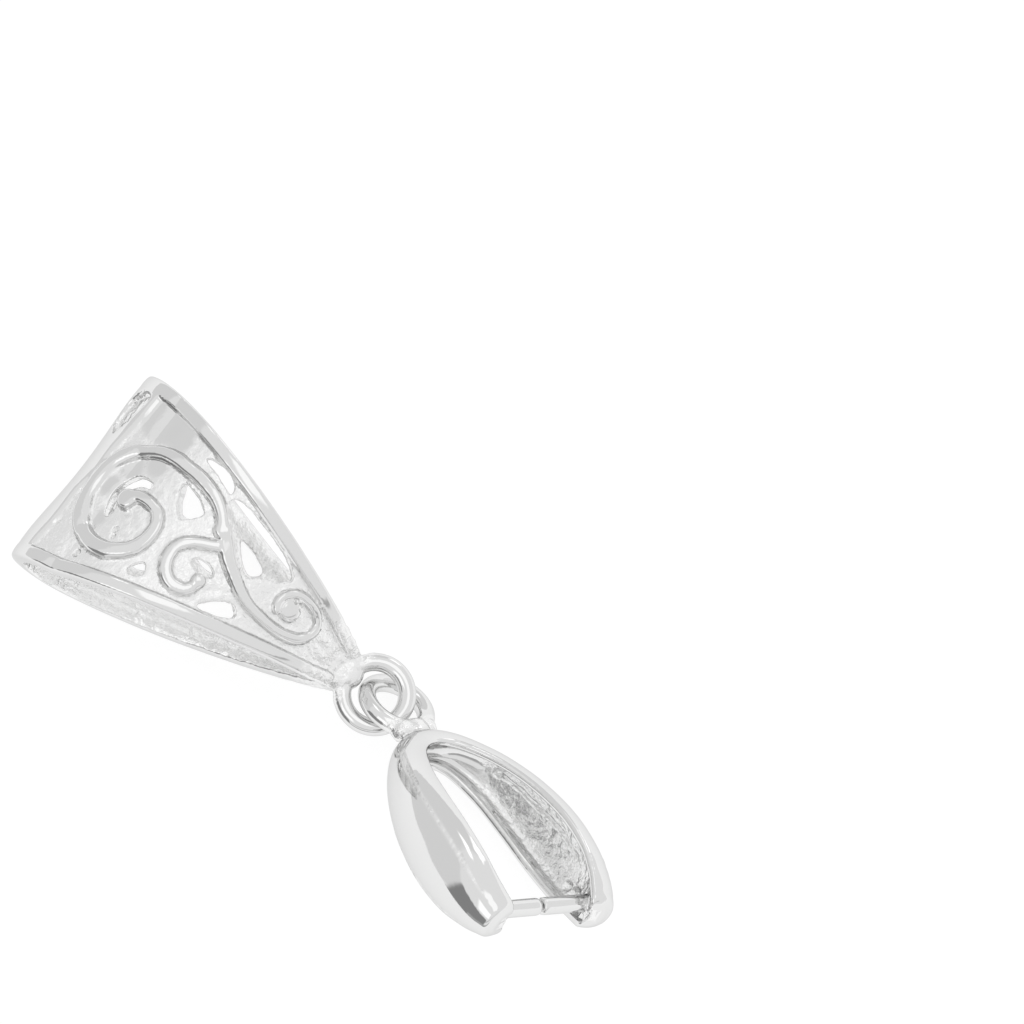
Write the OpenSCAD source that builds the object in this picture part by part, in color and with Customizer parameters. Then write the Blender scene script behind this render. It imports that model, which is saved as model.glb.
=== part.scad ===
// Bail finding: a pierced teardrop bail for a chain, with a pinch bail for a pendant linked below it.
// Millimetres, +Z up. It lies on its back on the plane Z = 0, rings toward -Y, crest toward +Y.

/* [Teardrop band] */
// Length from the point to the crest
bail_length = 13.4; // [10:0.1:18]
// Depth from front to back where it is fullest
bail_depth = 7.8; // [5:0.1:11]
// Width of the band at the crest
crest_width = 9.4; // [6:0.1:14]
// Width of the band at the point
point_width = 1.7; // [1.2:0.1:3]
// Width of a side rim across the band
rim_width = 0.75; // [0.5:0.05:1.2]
// Thickness of a side rim through the band
rim_thick = 0.7; // [0.5:0.05:1]
// Where the band is fullest: larger is nearer the crest
fullness = 0.7; // [0.4:0.05:1.2]
// How far the pierced crest bulges out between the rims
crest_bulge = 0.45; // [0:0.05:0.8]

/* [Scrollwork] */
// Breadth of a scroll
scroll_width = 0.6; // [0.4:0.05:0.9]
// How far a scroll stands above the rims
scroll_rise = 0.05; // [0:0.01:0.3]
// How far the web between the scrolls lies below the rims
web_drop = 0.25; // [0.1:0.05:0.4]
// Radius of the bead that ends a scroll
bead_r = 0.3; // [0.2:0.05:0.45]

/* [Pinch bail] */
// Length from the inside of the neck to the leg tips
leg_length = 9.5; // [7:0.1:14]
// Clear width between the legs where it is greatest
leg_gap = 5.4; // [3:0.1:8]
// Breadth of a leg at its broadest
leg_width = 3.8; // [2.5:0.1:6]
// Height of a leg's dome above its rim
leg_dome = 1.3; // [0.8:0.05:2]
// Thickness of a leg's wall
leg_wall = 0.5; // [0.35:0.05:0.8]
// Width of the flat rim round the inside of a leg
leg_rim = 0.4; // [0.25:0.05:0.6]
// Radius of a prong
prong_r = 0.37; // [0.3:0.01:0.5]
// Gap between the two prong tips
prong_gap = 0.12; // [0.05:0.01:0.6]
// Height of the neck block from the legs to the ring's wire
neck_height = 0.42; // [0.3:0.02:1]
// Radius of the neck block
neck_r = 0.55; // [0.4:0.05:0.8]

/* [Linked rings] */
// Bore radius of both rings
ring_bore_r = 0.96; // [0.8:0.02:1.4]
// Wire radius of both rings
ring_wire_r = 0.38; // [0.3:0.01:0.5]
// Clearance between the two rings, taken off their reach
link_gap = 0.05; // [0.03:0.01:0.15]

/* [Resting pose] */
// How far the bail's crest is raised by its bulging back
bail_tilt = 14; // [5:0.5:25]
// How the pinch bail leans on its lower leg, about X, Y and then Z
pinch_turn = [-113.5, -42.8, -3.5];
// Side step of the pinch ring's centre from the bail ring's centre
link_side = 0.25; // [0:0.01:0.4]
// Share of the rings' full reach that they lie apart
link_share = 0.52; // [0.48:0.01:0.7]

/* [Hidden] */
e = 0.01;
wall_steps = 48;
band_half = bail_depth / 2;
full_share = (1 + fullness) / (2 + fullness);
band_peak = 2 * pow(full_share, (1 + fullness) / 2) * sqrt(1 - full_share);
ring_r = ring_bore_r + ring_wire_r;
// The web and the scrolls stop just short of the rims' inner faces
web_floor = -(rim_thick - 0.04);
// Strokes that cross differ by this step in height, so that no two faces lie in one plane
layer_step = 0.035;
// Share of the wall's length over which the crest bulges
crest_reach = 0.2;
// The rims are cut back this far from the point at each end, as a share of the wall's length
rim_start = 0.025;
rim_rings = 54;
rim_chamfer = rim_thick * 0.25;
stroke_steps = 2;
// Solder at the band's point: its lump's radius and height, and the block above that the rims end in
solder_r = 0.45;
solder_apart = 0.46;
solder_height = 0.42;
solder_block = [point_width, 1.3, 0.5];
solder_block_height = 1.1;
// How far the bail ring's wire is soldered into the band's point
ring_sink = 0.58;
// Roundness of a leg's dome and of its dish, lower is fuller
dome_power = 0.75;
dish_power = 0.8;
// Most of the half breadth that a leg's rim may take near the tip
rim_most = 0.45;
leg_section_steps = 6;
leg_steps = 3;

// Rows of a scroll: share of the half width across, share of the wall's length along, share of scroll_width
main_scroll = [
    [0.32, 0.536, 0.7], [0.48, 0.578, 0.85], [0.56, 0.632, 1], [0.55, 0.692, 1],
    [0.5, 0.752, 1.05], [0.41, 0.806, 1.1], [0.3, 0.861, 1.15], [0.16, 0.909, 1.2],
    [0, 0.939, 1.2], [-0.17, 0.93, 1.2], [-0.32, 0.903, 1.2], [-0.46, 0.861, 1.2],
    [-0.57, 0.812, 1.15], [-0.63, 0.764, 1.1], [-0.6, 0.722, 1.05], [-0.5, 0.686, 1],
    [-0.32, 0.668, 1], [-0.13, 0.671, 0.95], [0.03, 0.692, 0.9], [0.12, 0.728, 0.85],
    [0.12, 0.77, 0.8], [0.03, 0.8, 0.75], [-0.09, 0.8, 0.8]];
stem_scroll = [
    [0.29, 0.542, 1.1], [0.2, 0.512, 1.2], [0.11, 0.481, 1.2], [0, 0.445, 1.15],
    [-0.14, 0.409, 1.1], [-0.28, 0.367, 1], [-0.36, 0.319, 0.9], [-0.38, 0.271, 0.8],
    [-0.27, 0.226, 0.75], [0.03, 0.202, 0.7], [0.37, 0.208, 0.7], [0.52, 0.241, 0.7],
    [0.47, 0.277, 0.65], [0.24, 0.307, 0.65], [-0.01, 0.307, 0.6], [-0.15, 0.28, 0.6],
    [-0.06, 0.253, 0.6]];
middle_scroll = [
    [0.12, 0.512, 0.8], [0.03, 0.548, 0.8], [-0.09, 0.581, 0.85], [-0.25, 0.601, 0.9],
    [-0.42, 0.602, 0.95], [-0.57, 0.584, 1], [-0.66, 0.554, 1], [-0.69, 0.521, 1],
    [-0.62, 0.497, 0.9], [-0.48, 0.49, 0.9], [-0.39, 0.5, 0.8]];
scrolls = [main_scroll, stem_scroll, middle_scroll];

// The low web that joins the scrolls to each other and to the rims, in the same shares
webs = [
    [[0.37, 0.698, 1.3], [0.34, 0.752, 1.5], [0.27, 0.806, 1.7], [0.11, 0.855, 1.8],
        [-0.09, 0.867, 1.6], [-0.27, 0.849, 1.4], [-0.41, 0.812, 1.2]],
    [[-0.52, 0.647, 0.9], [-0.31, 0.638, 1.1], [-0.08, 0.638, 1.1], [0.09, 0.62, 0.8],
        [0.22, 0.59, 0.7], [0.37, 0.56, 0.7]],
    [[-0.77, 0.512, 0.8], [-0.57, 0.478, 0.7], [-0.39, 0.445, 0.6], [-0.23, 0.421, 0.7]],
    [[0.55, 0.728, 0.6], [0.69, 0.701, 0.6], [0.88, 0.686, 0.7]],
    [[0.46, 0.572, 0.7], [0.65, 0.566, 0.6], [0.9, 0.554, 0.8]],
    [[-0.61, 0.788, 1.4], [-0.68, 0.74, 1.6], [-0.76, 0.698, 1.2], [-0.84, 0.656, 1]],
    [[-0.57, 0.614, 1.2], [-0.71, 0.59, 1.2], [-0.88, 0.572, 1]],
    [[0.07, 0.181, 3], [0.08, 0.132, 3.2], [0, 0.084, 3], [0, 0.042, 2.4]],
    [[-0.41, 0.337, 1], [-0.58, 0.277, 1.2], [-0.6, 0.223, 1.3], [-0.41, 0.175, 1.5]],
    [[0.65, 0.295, 0.8], [0.72, 0.253, 1], [0.69, 0.205, 1.2], [0.55, 0.169, 1.4]]];

// The bar along the crest's front edge and the links over the crest, in the same shares; a share along
// over 1 is past the crest
crest_lip = [[-0.9, 0.949, 1.1], [-0.5, 0.96, 1], [0, 0.962, 1], [0.5, 0.955, 1], [0.9, 0.945, 1.1]];
raised_strokes = concat(scrolls, [crest_lip]);
crest_links = [
    [[-0.62, 0.955, 1.3], [-0.5, 1, 1.4], [-0.42, 1.04, 1.3]],
    [[-0.22, 0.955, 1.2], [0, 1, 1.4], [0.22, 1.045, 1.2]],
    [[0.42, 0.96, 1.3], [0.5, 1, 1.4], [0.62, 1.045, 1.3]]];
// Beads: share of the half width across, share of the wall's length along, share of bead_r
beads = [[-0.09, 0.8, 1], [-0.39, 0.5, 1], [-0.06, 0.253, 0.8], [0.3, 0.535, 1.3]];

// Rows down a leg: share of half the gap out from the middle, share of the leg's length,
// share of its breadth, share of its dome, share of the hollow inside the dome
leg_rows = [
    [0, 0, 0.47, 0.8, 0.4], [0.38, 0.045, 0.53, 0.82, 0.7], [0.7, 0.18, 0.71, 0.88, 1],
    [0.9, 0.36, 0.89, 0.96, 1], [1, 0.56, 0.99, 1, 1], [1.01, 0.74, 0.93, 1, 0.95],
    [0.96, 0.86, 0.76, 1, 0.55], [0.88, 0.94, 0.6, 0.96, 0.15], [0.83, 0.98, 0.44, 0.84, 0.1],
    [0.81, 1, 0.25, 0.55, 0.1]];
// Where the prongs stand, as a share of the leg's length
prong_share = 0.93;

// A point of the band's outer line at turn f, 0 at the point and 180 at the crest
function band_yz(f) = [
    -band_half * sin(f) * pow(abs(sin(f / 2)), fullness) / band_peak,
    (1 - cos(f)) / 2 * bail_length];
function wall_step(i) = norm(band_yz(180 * i / wall_steps) - band_yz(180 * (i - 1) / wall_steps));
wall_length = [for (i = 1, s = 0; i <= wall_steps + 1; s = s + wall_step(i), i = i + 1) s][wall_steps];
wall_turns = [for (i = 0, s = 0; i <= wall_steps; i = i + 1, s = s + wall_step(i)) [s, 180 * i / wall_steps]];
// Turn that a length along the wall falls at, also past the crest
function turn_at(s) = s <= wall_length ? lookup(s, wall_turns) : 360 - lookup(2 * wall_length - s, wall_turns);
function band_tangent(f) =
    let (d = band_yz(f + 0.5) - band_yz(f - 0.5))
    d / norm(d);
function half_width(s) =
    (point_width + (crest_width - point_width) * band_yz(turn_at(s))[1] / bail_length) / 2;
// How far the wall bulges at x across and s along it, between the rims near the crest
function bulge(x, s) =
    let (
        across = x / (half_width(s) - rim_width),
        along = (s - wall_length) / (crest_reach * wall_length))
    crest_bulge * max(0, 1 - across * across) * max(0, 1 - along * along);
// A point x across and s along the wall, raised outward from it
function on_wall(x, s, rise) =
    let (f = turn_at(s), p = band_yz(f), t = band_tangent(f), out = rise + bulge(x, s))
    [x, p[0] - t[1] * out, p[1] + t[0] * out];

// A smooth line through rows, with n steps between two rows
function blend(a, b, c, d, t) =
    0.5 * ((2 * b) + (c - a) * t + (2 * a - 5 * b + 4 * c - d) * t * t + (3 * b - a - 3 * c + d) * t * t * t);
function smooth(rows, n) = [
    for (i = [0:len(rows) - 2], k = [0:n - 1])
        blend(rows[max(i - 1, 0)], rows[i], rows[i + 1], rows[min(i + 2, len(rows) - 1)], k / n),
    rows[len(rows) - 1]];

function reversed(list) = [for (i = [len(list) - 1:-1:0]) list[i]];
function tube_sides(rings, m) = [for (i = [0:rings - 2], j = [0:m - 1])
    each [[i * m + j, (i + 1) * m + j, i * m + (j + 1) % m],
        [i * m + (j + 1) % m, (i + 1) * m + j, (i + 1) * m + (j + 1) % m]]];
// Faces of a tube made of rings of m points
function tube_faces(rings, m) = concat(
    [[for (j = [0:m - 1]) j]],
    tube_sides(rings, m),
    [[for (j = [m - 1:-1:0]) (rings - 1) * m + j]]);

// A stroke laid along the wall; section rows are [share of breadth, rise]
module stroke(rows, section, n) {
    path = [for (r = smooth(rows, n)) [r[0] * half_width(r[1] * wall_length), r[1] * wall_length, r[2]]];
    last = len(path) - 1;
    m = len(section);
    points = [for (i = [0:last])
        let (
            d = path[min(i + 1, last)] - path[max(i - 1, 0)],
            t = [d[0], d[1]] / norm([d[0], d[1]]))
        for (q = section)
            let (k = q[0] * path[i][2] * scroll_width / 2)
            on_wall(path[i][0] + t[1] * k, path[i][1] - t[0] * k, q[1])];
    polyhedron(points, tube_faces(last + 1, m), convexity = 6);
}

function scroll_section(layer) =
    let (low = web_floor + layer * layer_step, high = scroll_rise - layer * layer_step)
    [[-1.15, low], [-1.1, -web_drop], [-0.55, high], [0.55, high], [1.1, -web_drop], [1.15, low]];
function web_section(layer) =
    let (low = web_floor + (3.5 + layer) * layer_step, high = -web_drop - (layer + 0.5) * layer_step)
    [[-1, low], [-1, high], [1, high], [1, low]];

// One side rim, from near the point over the crest and back
module rim(side) {
    c = rim_chamfer;
    section = [[0, -c], [c, 0], [rim_width - c, 0], [rim_width, -c],
        [rim_width, c - rim_thick], [rim_width - c, -rim_thick], [c, -rim_thick], [0, c - rim_thick]];
    shares = [for (k = [0:rim_rings]) rim_start + 2 * (1 - rim_start) * k / rim_rings];
    points = [for (b = shares)
        let (s = b * wall_length, w = half_width(s))
        for (q = side < 0 ? section : reversed(section))
            on_wall(side * (w - q[0]), s, q[1])];
    polyhedron(points, tube_faces(len(shares), 8), convexity = 6);
}

// A bead between two places on the wall, where a scroll ends
module bead(across, along, r) {
    s = along * wall_length;
    x = across * half_width(s);
    hull() {
        translate(on_wall(x, s, -r)) sphere(r, $fn = 10);
        translate(on_wall(x, s, -rim_thick / 2)) sphere(r * 0.8, $fn = 10);
    }
}

// Everything on one wall of the band
module wall() {
    for (i = [0:len(raised_strokes) - 1]) stroke(raised_strokes[i], scroll_section(i), stroke_steps);
    for (i = [0:len(webs) - 1]) stroke(webs[i], web_section(i % 3), stroke_steps);
    for (b = beads) bead(b[0], b[1], b[2] * bead_r);
}

// Solder block at the point of the band
module point_block() {
    hull() {
        for (x = [-1, 1]) translate([x * solder_apart, 0, solder_height]) sphere(solder_r, $fn = 12);
        translate([0, 0, solder_block_height]) cube(solder_block, center = true);
    }
}

module eye_ring(turn) {
    rotate(turn) rotate_extrude($fn = 28) translate([ring_r, 0]) circle(ring_wire_r, $fn = 10);
}

// Height of the bail ring's centre below the band's point
ring_below = ring_r + ring_wire_r - ring_sink;

module bail_upright() {
    for (side = [-1, 1]) rim(side);
    for (turn = [0, 180]) rotate([0, 0, turn]) wall();
    for (i = [0:len(crest_links) - 1]) stroke(crest_links[i], web_section(i), stroke_steps + 1);
    point_block();
    translate([0, 0, -ring_below]) eye_ring([90, 0, 0]);
}

// Rows of one full U, from one leg's tip over the neck to the other's
function mirrored(rows) = concat(
    [for (i = [len(rows) - 1:-1:1]) [-rows[i][0], for (j = [1:4]) rows[i][j]]], rows);
leg_path = [for (r = smooth(mirrored(leg_rows), leg_steps))
    [r[0] * leg_gap / 2, -r[1] * leg_length, r[2] * leg_width / 2, r[3] * leg_dome,
        r[3] * (leg_dome - leg_wall) * r[4]]];

function leg_ring(i) =
    let (
        last = len(leg_path) - 1,
        p = leg_path[i],
        a = leg_path[max(i - 1, 0)],
        b = leg_path[min(i + 1, last)],
        t = [b[0] - a[0], b[1] - a[1]] / norm([b[0] - a[0], b[1] - a[1]]),
        out = [-t[1], t[0]],
        w = p[2],
        rim = min(leg_rim, w * rim_most),
        dish = p[4],
        outer = [for (k = [leg_section_steps:-1:0])
            let (g = 180 * k / leg_section_steps)
            [w * cos(g), p[3] * pow(sin(g), dome_power)]],
        inner = [for (k = [0:leg_section_steps])
            let (g = 180 * k / leg_section_steps)
            [(w - rim) * cos(g), dish * pow(sin(g), dish_power)]])
    [for (q = concat(outer, inner)) [q[0], p[0] + out[0] * q[1], p[1] + out[1] * q[1]]];

leg_points = [for (i = [0:len(leg_path) - 1]) each leg_ring(i)];
leg_ring_size = 2 * leg_section_steps + 2;
// A leg's end is closed by strips from its outer line to its inner line
function leg_cap(first) = [for (j = [0:leg_section_steps - 1])
    let (k = leg_ring_size - 1 - j)
    each [[first + j, first + j + 1, first + k - 1], [first + j, first + k - 1, first + k]]];
leg_faces = concat(
    leg_cap(0),
    tube_sides(len(leg_path), leg_ring_size),
    [for (f = leg_cap((len(leg_path) - 1) * leg_ring_size)) reversed(f)]);

function gap_at(share) = let (k = [for (r = smooth(leg_rows, 8)) [r[1], r[0]]]) lookup(share, k) * leg_gap / 2;
prong_root = gap_at(prong_share);
// How deep a prong's root reaches into the leg, past the dish
prong_sink = leg_dome * 0.5;
prong_tip_round = 0.08;

module prong() {
    length = prong_root + prong_sink - prong_gap / 2;
    translate([0, prong_gap / 2, -prong_share * leg_length]) rotate([-90, 0, 0]) {
        cylinder(prong_tip_round + e, prong_r - prong_tip_round, prong_r, $fn = 48);
        translate([0, 0, prong_tip_round]) cylinder(length - prong_tip_round, prong_r, prong_r, $fn = 48);
    }
}

// Height of the pinch ring's centre above the inside of the neck
ring_above = leg_dome * leg_rows[0][3] + neck_height + ring_r;

module pinch_upright() {
    polyhedron(leg_points, leg_faces, convexity = 6);
    prong();
    mirror([0, 1, 0]) prong();
    translate([0, 0, leg_dome * leg_rows[0][3] - leg_wall]) cylinder(leg_wall + neck_height, r = neck_r, $fn = 24);
    translate([0, 0, ring_above]) rotate([0, 90, 0]) rotate_extrude($fn = 48)
        translate([ring_r, 0]) circle(ring_wire_r, $fn = 24);
}

// The height that sets each piece's lowest point on the plane
function turned(p, a) =
    let (
        x = [p[0], p[1] * cos(a[0]) - p[2] * sin(a[0]), p[1] * sin(a[0]) + p[2] * cos(a[0])],
        y = [x[0] * cos(a[1]) + x[2] * sin(a[1]), x[1], -x[0] * sin(a[1]) + x[2] * cos(a[1])])
    [y[0] * cos(a[2]) - y[1] * sin(a[2]), y[0] * sin(a[2]) + y[1] * cos(a[2]), y[2]];
bail_turn = [bail_tilt - 90, 0, 0];
rim_line = [for (k = [0:120])
    let (s = wall_length * k / 60)
    turned(on_wall(half_width(s) - rim_width / 2, s, 0), bail_turn)];
// The scrolls of both walls, which may stand out further than the rims
scroll_lines = [for (i = [0:len(scrolls)], r = smooth(raised_strokes[i], 2), side = [-1, 1])
    let (
        s = r[1] * wall_length,
        p = on_wall(r[0] * half_width(s), s, scroll_rise - i * layer_step))
    turned([side * p[0], side * p[1], p[2]], bail_turn)];
bail_low = min([for (p = concat(rim_line, scroll_lines)) p[2]]);
bail_ring_at = turned([0, 0, -ring_below], bail_turn) + [0, 0, -bail_low];
// The legs' points about the pinch ring's centre, as they lie
leg_lying = [for (p = leg_points) turned(p - [0, 0, ring_above], pinch_turn)];
ring_across = turned([1, 0, 0], pinch_turn);
ring_low = -ring_wire_r - ring_r * sqrt(1 - ring_across[2] * ring_across[2]);
pinch_low = min(ring_low, min([for (p = leg_lying) p[2]]));
// How far the pinch ring's centre lies behind the bail ring's
link_back = 2 * ring_bore_r * link_share - link_gap;
pinch_ring_at = [bail_ring_at[0] + link_side, bail_ring_at[1] - link_back, -pinch_low];
// What moves the middle of the whole box to the origin
low_x = min([for (p = leg_lying) p[0]]) + pinch_ring_at[0];
low_y = min([for (p = leg_lying) p[1]]) + pinch_ring_at[1];
high_y = max([for (p = concat(rim_line, scroll_lines)) p[1]]);
to_middle = [-(low_x + crest_width / 2) / 2, -(low_y + high_y) / 2, 0];

module filigree_bail() {
    color("silver") translate(to_middle - [0, 0, bail_low]) rotate(bail_turn) bail_upright();
}

module pinch_bail() {
    color("silver") translate(to_middle + pinch_ring_at) rotate(pinch_turn) translate([0, 0, -ring_above])
        pinch_upright();
}

filigree_bail();
pinch_bail();
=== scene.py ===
"""Makes a bail finding that lies on a pale studio floor: a pierced teardrop bail with a pinch bail below it.

Shapes are worked out in millimetres, each piece standing upright on its own axis, and then turned, placed
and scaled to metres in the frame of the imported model.
"""

import math

import bpy
import numpy as np
from bpy.props import FloatProperty, FloatVectorProperty, PointerProperty
from mathutils import Matrix, Vector


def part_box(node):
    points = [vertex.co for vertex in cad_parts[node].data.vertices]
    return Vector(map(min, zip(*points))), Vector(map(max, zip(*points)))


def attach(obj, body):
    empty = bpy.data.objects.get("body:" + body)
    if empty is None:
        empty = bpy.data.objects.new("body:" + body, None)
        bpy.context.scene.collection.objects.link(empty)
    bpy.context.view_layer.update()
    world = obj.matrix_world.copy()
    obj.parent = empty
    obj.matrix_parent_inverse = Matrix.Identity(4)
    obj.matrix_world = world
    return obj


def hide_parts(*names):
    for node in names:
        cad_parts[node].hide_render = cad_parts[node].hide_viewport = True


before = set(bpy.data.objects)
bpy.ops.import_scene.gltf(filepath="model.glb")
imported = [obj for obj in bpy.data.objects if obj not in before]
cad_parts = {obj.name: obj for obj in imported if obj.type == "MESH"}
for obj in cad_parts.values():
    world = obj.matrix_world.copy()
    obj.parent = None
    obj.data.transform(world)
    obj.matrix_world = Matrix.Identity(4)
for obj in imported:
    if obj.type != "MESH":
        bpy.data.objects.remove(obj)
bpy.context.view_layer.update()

bl_info = {
    "name": "Bail finding",
    "version": (1, 0, 0),
    "blender": (4, 5, 0),
    "location": "View3D > Sidebar > Bail",
    "description": "Makes a pierced teardrop bail, its linked pinch bail and a pale studio stage",
    "category": "Add Mesh",
}

MM = 0.001
# The teardrop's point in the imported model, in millimetres
TEARDROP_POINT = (0.799, 0.5645, 2.0221)


def length(name, description, default):
    """A length property in metres, its default given in millimetres."""
    return FloatProperty(name=name, description=description, default=default * MM, min=0, unit="LENGTH",
                         precision=5)


def share(name, description, default):
    """A plain number property."""
    return FloatProperty(name=name, description=description, default=default, precision=4)


def angle(name, description, default):
    """An angle property, its default given in degrees."""
    return FloatProperty(name=name, description=description, default=math.radians(default),
                         subtype="ANGLE", unit="ROTATION")


class TeardropSizes(bpy.types.PropertyGroup):
    """Sizes of the pierced teardrop."""

    bail_length: length("Length", "From the point to the crest", 13.4)
    bail_depth: length("Depth", "Front to back where it is fullest", 7.8)
    crest_width: length("Crest width", "Width of the band at the crest", 9.4)
    point_width: length("Point width", "Width of the band at the point", 1.7)
    widening: share("Widening", "How fast the band widens from the point, lower is sooner", 0.9)
    rim_width: length("Rim width", "Width of a side rim across the band", 0.62)
    rim_thick: length("Rim thickness", "Thickness of a side rim through the band", 0.7)
    fullness: share("Fullness", "Where the band is fullest, larger is nearer the crest", 0.7)
    crest_bulge: length("Crest bulge", "How far the crest stands out", 0.82)
    crest_reach: share("Crest reach", "Share of the wall over which the crest stands out", 0.15)
    crest_lobe: share("Crest lobe", "Where across the half width the crest stands out most", 0.75)
    crest_dip: share("Crest dip", "Share of the bulge that its middle lacks", 0.17)
    scroll_width: length("Scroll breadth", "Breadth of a raised scroll", 0.6)
    scroll_rise: length("Scroll rise", "How far a scroll stands above the rims", 0.05)
    shoulder: length("Shoulder", "How far a scroll's shoulders lie below its top", 0.15)
    sheet_drop: length("Sheet drop", "How far the pierced sheet lies below the rims", 0.27)
    sheet_thick: length("Sheet thickness", "Thickness of the pierced sheet", 0.36)
    pad: length("Pad", "Radius of the round pad that ends a scroll", 0.3)
    tilt: angle("Tilt", "How far the crest is raised by the bulging back", 14)


class PinchSizes(bpy.types.PropertyGroup):
    """Sizes of the pinch bail."""

    leg_length: length("Leg length", "From the inside of the neck to the leg tips", 9.5)
    leg_gap: length("Leg gap", "Clear width between the legs where it is greatest", 5.4)
    leg_width: length("Leg breadth", "Breadth of a leg at its broadest", 3.6)
    leg_dome: length("Leg dome", "Height of a leg's dome above its rim", 1.3)
    leg_wall: length("Leg wall", "Thickness of a leg's wall", 0.5)
    leg_rim: length("Leg rim", "Width of the lip round the inside of a leg", 0.4)
    prong_radius: length("Prong radius", "Radius of a prong", 0.37)
    prong_gap: length("Prong gap", "Gap between the two prong tips", 0.14)
    neck_height: length("Neck height", "Height of the neck block", 0.42)
    neck_radius: length("Neck radius", "Radius of the neck block", 0.55)
    turn: FloatVectorProperty(name="Turn", description="How it leans on its lower leg, about X, Y, Z",
                              default=[math.radians(a) for a in (-113.5, -42.8, -3.5)],
                              subtype="EULER", unit="ROTATION")


class RingSizes(bpy.types.PropertyGroup):
    """Sizes of the two linked eye rings."""

    bore: length("Bore radius", "Radius of the hole through a ring", 0.96)
    wire: length("Wire radius", "Radius of a ring's wire", 0.38)


class PlateFinish(bpy.types.PropertyGroup):
    """Look of the silver plate."""

    colour: FloatVectorProperty(name="Colour", description="Colour of the polished plate",
                                default=(0.785, 0.785, 0.783), subtype="COLOR", min=0, max=1)
    # Lighter than the polished plate: painted light that lifts the shade falling on the recessed cast faces
    # and the band's inside
    cast_painted_light_colour: FloatVectorProperty(name="Cast colour", description="Colour of the recessed cast faces",
                                     default=(0.9, 0.9, 0.898), subtype="COLOR", min=0, max=1)
    edge: share("Edge brightness", "How bright the plate is where it is seen at a glancing angle", 0.8)
    polished: share("Polished roughness", "Roughness of the polished faces", 0.06)
    cast: share("Cast roughness", "Roughness of the recessed cast faces", 0.13)
    grain: length("Grain", "Height of the cast grain", 0.05)
    voxel: length("Voxel", "Voxel size that fuses the parts of a piece", 0.06)


class StudioSizes(bpy.types.PropertyGroup):
    """The stage and the camera."""

    floor_colour: FloatVectorProperty(name="Floor colour", description="Colour of the pale floor",
                                      default=(0.2, 0.2, 0.2), subtype="COLOR", min=0, max=1)
    floor_side: length("Floor side", "Side of the square floor", 2400)
    distance: length("Camera distance", "From the aim to the camera", 600)
    picture: length("Picture width", "Width that the picture covers at the aim", 41.9)
    tent: share("Tent", "Brightness of the light tent round the part", 0.9)
    glow: share("Floor glow", "Light that the floor itself gives off", 0.86)


def smooth_rows(rows, steps):
    """A smooth line through rows of numbers.

    Between two rows it is the cubic whose slope at each row is half the step from the row before to the
    row after, in the given number of steps.
    """
    rows = np.asarray(rows, float)
    padded = np.vstack([rows[:1], rows, rows[-1:]])
    a, b, c, d = padded[:-3, None], padded[1:-2, None], padded[2:-1, None], padded[3:, None]
    t = (np.arange(steps) / steps)[None, :, None]
    spans = 0.5 * (2 * b + (c - a) * t + (2 * a - 5 * b + 4 * c - d) * t**2 + (3 * b - a - 3 * c + d) * t**3)
    return np.vstack([spans.reshape(-1, rows.shape[1]), rows[-1:]])


# Random numbers that a lattice of noise draws from, and the large primes that scatter its corners over them
NOISE_NUMBERS = 4096
NOISE_PRIMES = (73856093, 19349663, 83492791)


def value_noise(points, cell, seed):
    """Smooth seeded noise from -1 to 1: random numbers on a lattice of the given cell, blended between the
    eight nearest by 3t^2 - 2t^3."""
    rng = np.random.default_rng(seed)
    table = rng.uniform(-1, 1, NOISE_NUMBERS)
    scaled = points / cell
    base = np.floor(scaled).astype(np.int64)
    t = scaled - base
    t = t * t * (3 - 2 * t)
    total = np.zeros(len(points))
    for dx in (0, 1):
        for dy in (0, 1):
            for dz in (0, 1):
                corner = (base + [dx, dy, dz]) @ np.array(NOISE_PRIMES)
                weight = np.abs(1 - dx - t[:, 0]) * np.abs(1 - dy - t[:, 1]) * np.abs(1 - dz - t[:, 2])
                total += table[corner % NOISE_NUMBERS] * weight
    return total


def step_up(value, low, high):
    """0 below low, 1 above high, and 3t^2 - 2t^3 between."""
    t = np.clip((value - low) / (high - low), 0, 1)
    return t * t * (3 - 2 * t)


def squircle(count, power):
    """Points round a rounded square with half side 1: cosine and sine, each raised to 2 / power."""
    turn = 2 * np.pi * np.arange(count) / count
    c, s = np.cos(turn), np.sin(turn)
    return np.sign(c) * np.abs(c) ** (2 / power), np.sign(s) * np.abs(s) ** (2 / power)


def skin(grid, loop=False):
    """Points and faces of a closed tube over grid[ring, point round the ring].

    Each face joins four neighbours. The ends are capped, unless the last ring joins the first.
    """
    rings, around = grid.shape[:2]
    i, j = np.meshgrid(np.arange(rings if loop else rings - 1), np.arange(around), indexing="ij")
    k, l = (i + 1) % rings, (j + 1) % around
    corners = [i * around + j, i * around + l, k * around + l, k * around + j]
    faces = np.stack(corners, -1).reshape(-1, 4).tolist()
    if not loop:
        faces.append(np.arange(around)[::-1].tolist())
        faces.append(((rings - 1) * around + np.arange(around)).tolist())
    return grid.reshape(-1, 3), faces


def join_skins(skins):
    """Stacks several closed skins into one list of points and one of faces."""
    points, faces, first = [], [], 0
    for p, f in skins:
        points.append(p)
        faces += [[first + v for v in face] for face in f]
        first += len(p)
    return np.vstack(points), faces


# Steps round a ring, round a wire, prong or lump, and from a lump's foot to its top
RING_STEPS = 96
ROUND_STEPS = 36
LUMP_STEPS = 24
# A direction off every axis, from which a ring's first point is worked out
ASKEW = (0.31, 0.52, 0.79)


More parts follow.
